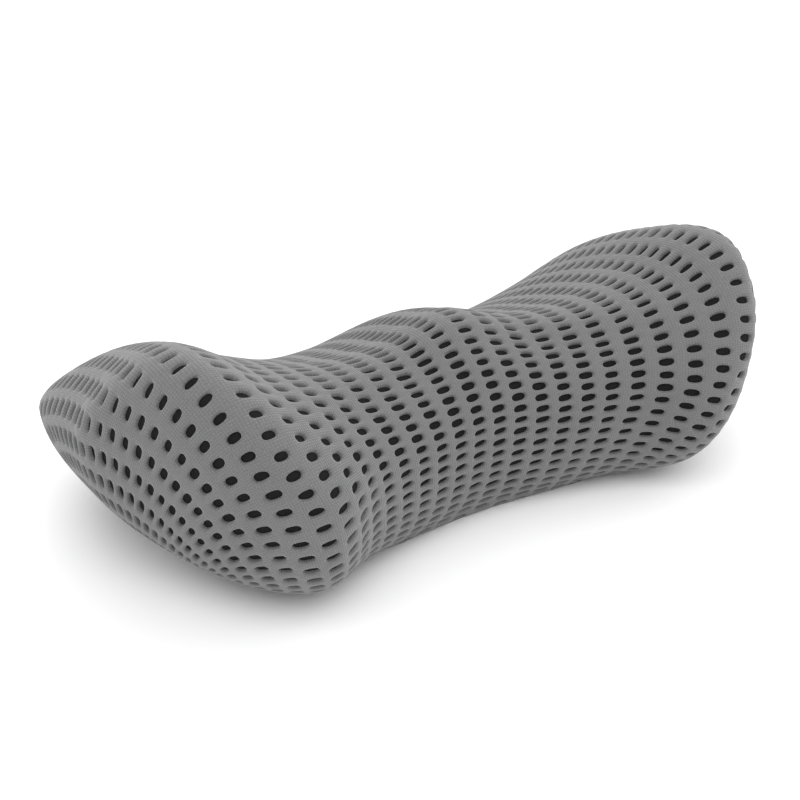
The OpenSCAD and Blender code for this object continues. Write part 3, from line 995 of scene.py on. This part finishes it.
# ---------------------------------------------------------------- base panel and its seam
def base_panel():
    """The knitted panel under the cushion, with soft edges pulled up into the seam."""
    count = AROUND * FINE
    rim = fine[:count, :2]
    length = np.linalg.norm(rim, axis=1, keepdims=True)
    # how far in from the rim each ring lies, and its height
    rings_in = [(0.8, 2.6), (0.85, 1.6), (1.4, 0.75), (3.0, 0.22), (7.0, 0.0), (20.0, 0.0),
                (45.0, 0.0)]
    lower = np.vstack([np.column_stack([rim * (1 - d / length), np.full(count, z)])
                       for d, z in rings_in])
    upper = lower.copy()
    upper[:, 2] = BASE_T - np.repeat([1.2, 0.9, 0.4, 0.1, 0.0, 0.0, 0.0], count)
    p = np.vstack([lower, [[0, 0, 0]], upper, [[0, 0, BASE_T]]])
    n = len(rings_in)
    i, j = np.meshgrid(np.arange(n - 1), np.arange(count), indexing="ij")
    k = (j + 1) % count
    here, nxt = i * count, (i + 1) * count
    q = np.stack([here + j, nxt + j, nxt + k, here + k], -1).reshape(-1, 4)
    last = np.arange(count) + (n - 1) * count
    nxt = (np.arange(count) + 1) % count + (n - 1) * count
    m = len(lower) + 1
    fan_low = np.stack([last, np.full(count, m - 1), nxt], -1)
    fan_up = np.stack([nxt + m, np.full(count, 2 * m - 1), last + m], -1)
    r = np.arange(count)
    s = (r + 1) % count
    wall = np.stack([r, s, s + m, r + m], -1)
    ob = make("cover_base_knit", p, [q, q[:, ::-1] + m, fan_low, fan_up, wall], base_mat)
    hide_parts("cover_base")


def base_seam():
    """Overlocked stitches that join the mesh to the base panel."""
    count = AROUND * FINE
    rim = fine[:count, :2]
    seg = np.linalg.norm(np.roll(rim, -1, 0) - rim, axis=1)
    total = seg.sum()
    s = np.concatenate([[0], np.cumsum(seg)])
    loop = np.vstack([rim, rim[:1]])
    number = int(total / 2.6)  # one stitch for each 2.6 mm
    parts = []
    for k in range(number):
        d = (k + 0.1) * total / number
        e = (k + 0.8) * total / number
        a = np.array([np.interp(d, s, loop[:, c]) for c in (0, 1)])
        b = np.array([np.interp(e % total, s, loop[:, c]) for c in (0, 1)])
        tangent = (b - a) / max(np.linalg.norm(b - a), 1e-6)
        inward = np.array([-tangent[1], tangent[0]])
        p, q = a - inward * 1.0, b + inward * 2.2
        parts.append(capsule((p[0], p[1], 0.95), (q[0], q[1], 0.95), 0.26, 0.5, (0, 0, -1), 6))
    p, f = join(parts)
    ob = from_parts("base_seam_thread", [(p, f.tolist())], thread_mat, "cushion")
    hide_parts("base_seam")


base_panel()
base_seam()


# ---------------------------------------------------------------- the liner and the foam
def bag(name, inset, thick, ripple, material):
    """A closed bag that follows the form at an inset, with its own soft unevenness."""
    count = AROUND * FINE
    wavy = ripple * (np.sin(fine[:, 0] * 0.09 + 1.3 * np.sin(fine[:, 1] * 0.05))
                     * np.sin(fine[:, 1] * 0.11 + fine[:, 2] * 0.07) - 1.0)
    skins, faces, k = [], [], 0
    for depth, flip in ((inset, False), (inset + thick, True)):
        if flip and not thick:
            continue
        p = fine - fine_n * (depth - wavy)[:, None]
        centre = p[:count].mean(0, keepdims=True)
        p = np.vstack([p, centre])
        r = np.arange(count)
        floor = np.stack([np.roll(r, -1), r, np.full(count, len(p) - 1)], -1)
        for f in (fq, ff, floor):
            faces.append((f[:, ::-1] if flip else f) + k)
        skins.append(p)
        k += len(p)
    at = np.vstack([np.vstack([fine, [[0, 0, 0]]])] * len(skins))
    return make(name, np.vstack(skins), faces, material, at)


foam = bag("foam_core_moulded", FOAM_IN, 0.0, FOAM_RIPPLE, foam_mat)
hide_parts("foam_core")
liner = bag("inner_liner_knit", LINER_IN, LINER_T, LINER_RIPPLE, liner_mat)
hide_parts("inner_liner")


# ---------------------------------------------------------------- floor, light, camera
AIM = Vector((0, 0, 0.05))


def stage():
    """A white floor, a white world and three large soft lights."""
    me = bpy.data.meshes.new("floor")
    s = 6.0
    me.from_pydata([(-s, -s, 0), (s, -s, 0), (s, s, 0), (-s, s, 0)], [], [(0, 1, 2, 3)])
    me.materials.append(new_material("floor_white", (0.97, 0.97, 0.97), 0.9)[0])
    link("floor", me)
    world = bpy.data.worlds.new("studio")
    bpy.context.scene.world = world
    world.use_nodes = True
    sky = world.node_tree.nodes["Background"]
    sky.inputs["Color"].default_value = (1, 1, 1, 1)
    sky.inputs["Strength"].default_value = 1.0
    bpy.context.scene.view_settings.view_transform = "Standard"
    for name, place, energy, size in (("key", (-0.5, -1.0, 1.7), 16, 1.4),
                                      ("fill", (1.5, -0.7, 1.2), 7, 1.6),
                                      ("rear", (0.3, 1.6, 1.4), 9, 1.6)):
        lamp = bpy.data.lights.new(name, "AREA")
        lamp.energy = energy
        lamp.size = size
        ob = link(name, lamp)
        ob.location = place
        ob.rotation_euler = (AIM - Vector(place)).to_track_quat("-Z", "Y").to_euler()


def camera():
    cam = bpy.data.cameras.new("view")
    cam.lens = 54.4
    cam.sensor_width = 36.0
    cam.shift_x, cam.shift_y = -0.0358, 0.0093
    az, el, dist = math.radians(-32.75), math.radians(27.1), 0.783
    out = Vector((math.sin(az) * math.cos(el), -math.cos(az) * math.cos(el), math.sin(el)))
    ob = link("view", cam)
    ob.location = AIM + out * dist
    ob.rotation_euler = (-out).to_track_quat("-Z", "Y").to_euler()
    bpy.context.scene.camera = ob


stage()
camera()
